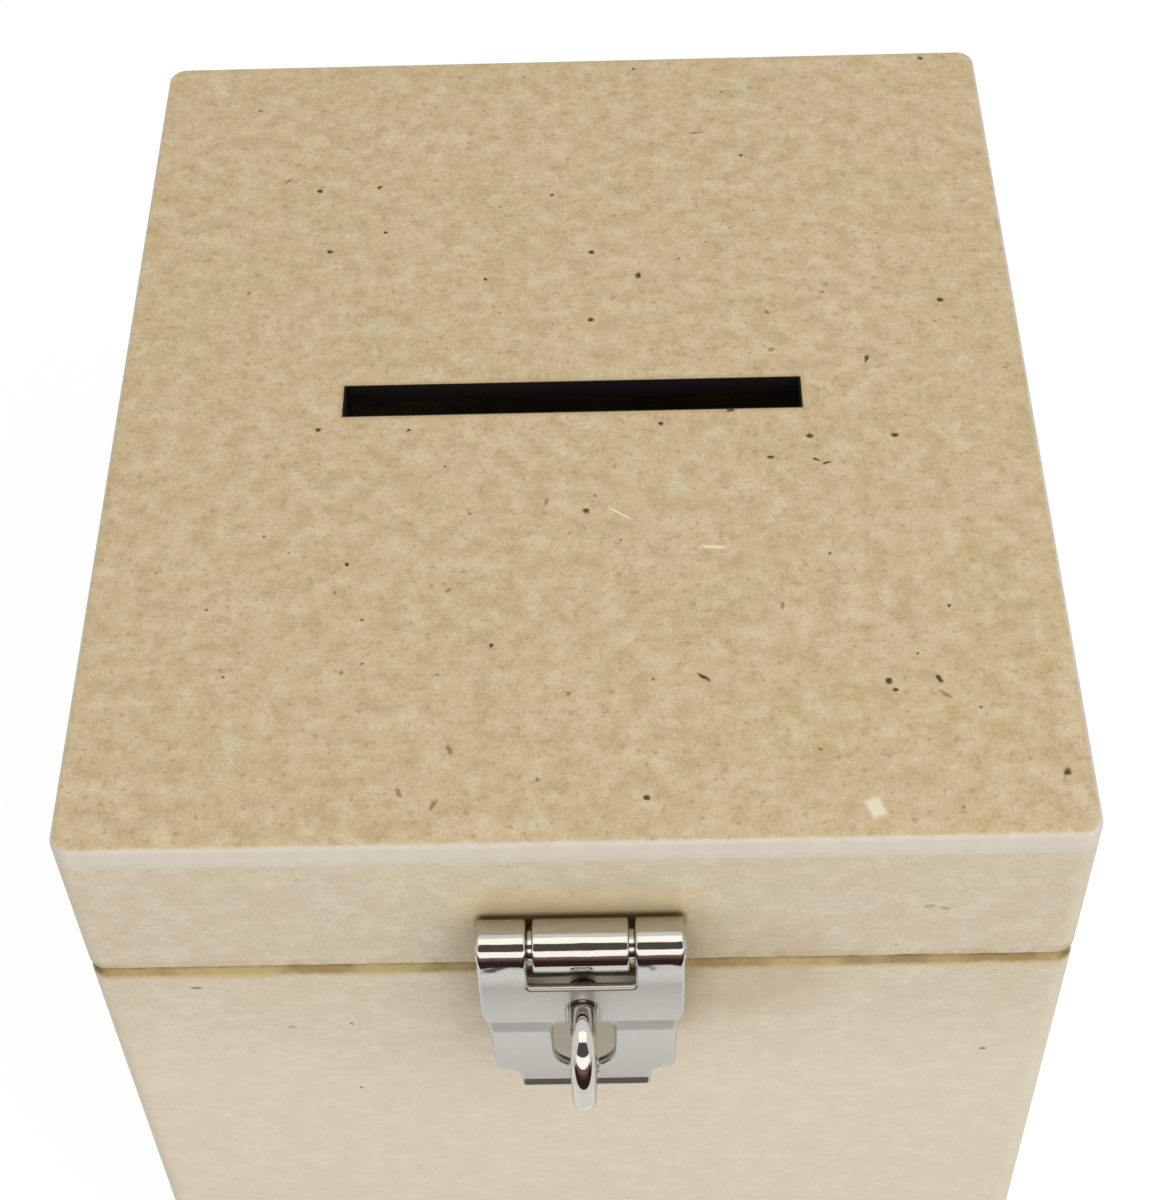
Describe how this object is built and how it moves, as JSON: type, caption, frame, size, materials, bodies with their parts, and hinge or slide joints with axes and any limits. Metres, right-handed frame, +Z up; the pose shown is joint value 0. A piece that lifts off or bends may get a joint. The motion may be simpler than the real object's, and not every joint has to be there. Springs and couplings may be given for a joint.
{
  "type": "ballot box",
  "caption": "Small raw fibreboard ballot box with a slotted hinged lid, rear butt hinges and a chromed folding hasp over a padlock eye.",
  "frame": {"origin": "centre of the underside of the bottom board", "axes": "+Z up, front with the hasp towards -Y, +X to the right seen from the front"},
  "size_m": [0.12, 0.1602, 0.12],
  "materials": {
    "board": "raw medium-density fibreboard, sanded",
    "board_top": "raw medium-density fibreboard, calendered face",
    "chrome": "bright chrome plate on pressed steel",
    "hinge_steel": "zinc-plated steel"
  },
  "bodies": {
    "box": {"bottom_board": "board", "front_wall": "board", "back_wall": "board", "left_wall": "board", "right_wall": "board", "staple_plate": "chrome", "staple_loop": "chrome", "staple_screw_left": "chrome", "staple_screw_right": "chrome", "hinge_left_body_leaf": "hinge_steel", "hinge_left_pin": "hinge_steel", "hinge_left_body_screw_inner": "hinge_steel", "hinge_left_body_screw_outer": "hinge_steel", "hinge_right_body_leaf": "hinge_steel", "hinge_right_pin": "hinge_steel", "hinge_right_body_screw_inner": "hinge_steel", "hinge_right_body_screw_outer": "hinge_steel"},
    "lid": {"lid_front_rail": "board", "lid_back_rail": "board", "lid_left_rail": "board", "lid_right_rail": "board", "lid_top_board": "board_top", "hasp_lid_leaf": "chrome", "hasp_pin": "chrome", "hasp_screw_left": "chrome", "hasp_screw_right": "chrome", "hinge_left_lid_leaf": "hinge_steel", "hinge_left_lid_screw_inner": "hinge_steel", "hinge_left_lid_screw_outer": "hinge_steel", "hinge_right_lid_leaf": "hinge_steel", "hinge_right_lid_screw_inner": "hinge_steel", "hinge_right_lid_screw_outer": "hinge_steel"},
    "flap": {"hasp_flap": "chrome"}
  },
  "joints": [
    {"name": "lid_hinge", "type": "hinge", "parent": "box", "child": "lid", "pos_m": [0, 0.07205, 0.09385], "axis": [-1, 0, 0], "range_deg": [0, 170]},
    {"name": "flap_hinge", "type": "hinge", "parent": "lid", "child": "flap", "pos_m": [0.0003, -0.07335, 0.1036], "axis": [-1, 0, 0], "range_deg": [0, 170]}
  ]
}
